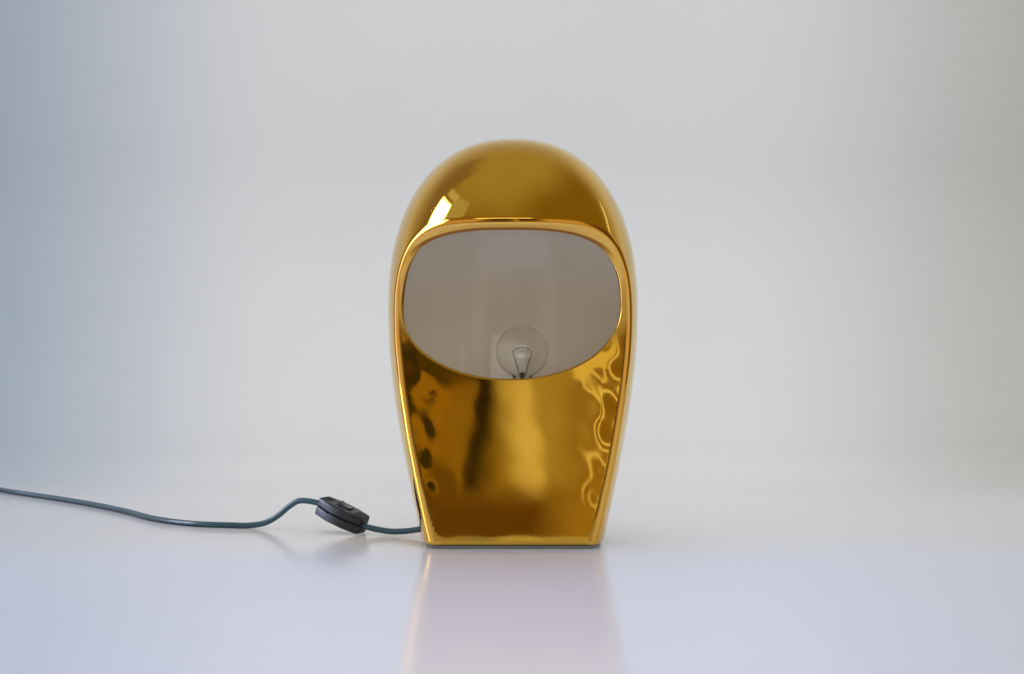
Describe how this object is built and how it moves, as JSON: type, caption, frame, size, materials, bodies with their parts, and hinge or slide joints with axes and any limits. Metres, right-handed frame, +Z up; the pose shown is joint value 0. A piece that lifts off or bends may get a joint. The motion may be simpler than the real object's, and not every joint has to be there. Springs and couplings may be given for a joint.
{
  "type": "ceramic table lamp",
  "caption": "Helmet-shaped table lamp: hollow gold-glazed ceramic body with a visor opening over a screw-in globe bulb, and a flex with an in-line rocker switch, a tied coil and a plug.",
  "frame": {"origin": "on the table, under the axis of the ceramic body, on the underside of the base pad", "axes": "+Z up; the visor opening faces -Y; +X is to the right as seen from the front"},
  "size_m": [0.8593, 0.5523, 0.34],
  "materials": {
    "gold_glaze": "mirror gold lustre outside, white glaze inside",
    "felt": "matt felt",
    "rubber": "matt",
    "flex": "smooth satin",
    "black_plastic": "satin moulded",
    "rocker_plastic": "glossy moulded",
    "holder_plastic": "off-white moulded",
    "porcelain": "white glaze",
    "steel": "zinc plated",
    "brass": "bare brass",
    "nickel": "nickel plated",
    "clear_glass": "clear",
    "black_glass": "opaque black glass",
    "solder": "dull solder",
    "wire": "drawn wire",
    "strap": "satin"
  },
  "bodies": {
    "lamp": {"ceramic_body": "gold_glaze", "base_pad": "felt", "cord_grommet": "rubber", "stem_tube": "steel", "lower_nut": "steel", "lower_washer": "steel", "upper_washer": "steel", "spacer_sleeve": "brass", "holder_cap": "holder_plastic", "holder_shell": "holder_plastic", "holder_insert": "porcelain", "thread_sleeve": "brass", "centre_contact": "brass", "terminal_screw_left": "steel", "terminal_screw_right": "steel", "inner_flex": "flex", "flex_lamp_to_switch": "flex", "flex_switch_to_coil": "flex", "flex_coil": "flex", "flex_coil_to_plug": "flex", "coil_tie": "strap", "switch_lower_shell": "black_plastic", "switch_upper_shell": "black_plastic", "rocker_pin": "steel", "contact_lamp": "brass", "contact_mains": "brass", "switch_screw_lamp": "steel", "switch_screw_mains": "steel", "plug_boot": "flex", "plug_body": "black_plastic", "plug_pin_left": "brass", "plug_pin_right": "brass"},
    "bulb_lift": {"contact_tip": "solder"},
    "bulb": {"bulb_cap": "nickel", "cap_insulator": "black_glass", "bulb_glass": "clear_glass", "glass_stem": "clear_glass", "lead_wire_left": "wire", "lead_wire_right": "wire", "filament": "wire"},
    "rocker": {"switch_rocker": "rocker_plastic"}
  },
  "joints": [
    {"name": "bulb_rise", "type": "slide", "parent": "lamp", "child": "bulb_lift", "axis": [0, 0, 1], "range_m": [0, 0.012]},
    {"name": "bulb_turn", "type": "hinge", "parent": "bulb_lift", "child": "bulb", "pos_m": [0.008, 0.005, 0.12], "axis": [0, 0, 1], "range_deg": [0, 1530]},
    {"name": "switch_rock", "type": "hinge", "parent": "lamp", "child": "rocker", "pos_m": [-0.14956, 0.05646, 0.01937], "axis": [0.454, 0.891, 0], "range_deg": [-16, 0]}
  ],
  "couplings": [
    {"joint": "bulb_rise", "follows": "bulb_turn", "m_per_rad": 0.00044882}
  ]
}
